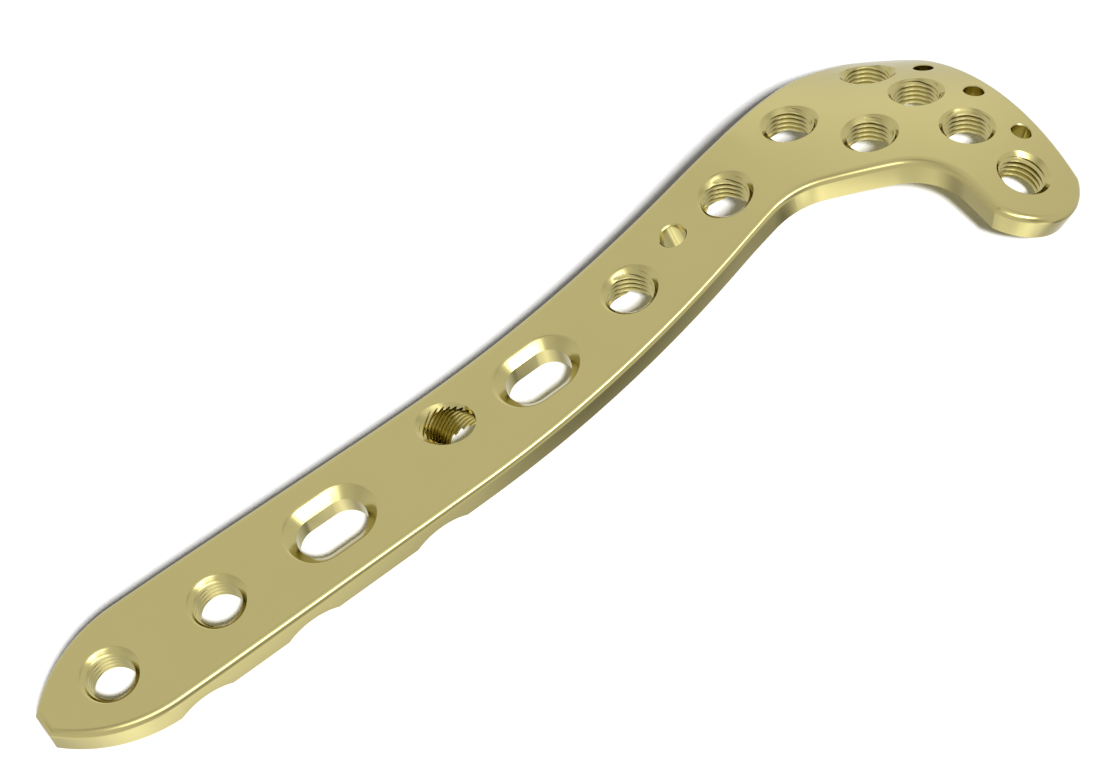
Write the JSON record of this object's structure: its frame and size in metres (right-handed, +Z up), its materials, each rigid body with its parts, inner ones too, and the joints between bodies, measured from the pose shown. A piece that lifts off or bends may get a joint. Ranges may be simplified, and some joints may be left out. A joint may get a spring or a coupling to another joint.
{
  "type": "orthopedic bone plate",
  "caption": "Contoured bone plate for the lower shin: a slim straight shaft with screw holes and slots that flares, twists and curves into a broad head with a hooked side. Gold satin titanium.",
  "frame": {"origin": "centre of the plate's footprint box, on the table it lies on, bone side down", "axes": "+X runs along the plate from the narrow nose to the broad head, +Y towards the side away from the hook, +Z up"},
  "size_m": [0.1166, 0.034, 0.0095],
  "materials": {
    "anodised_titanium": "satin gold-anodised titanium with very fine blasted grain and crisp machined holes"
  },
  "bodies": {
    "root": {"plate": "anodised_titanium"}
  },
  "joints": []
}
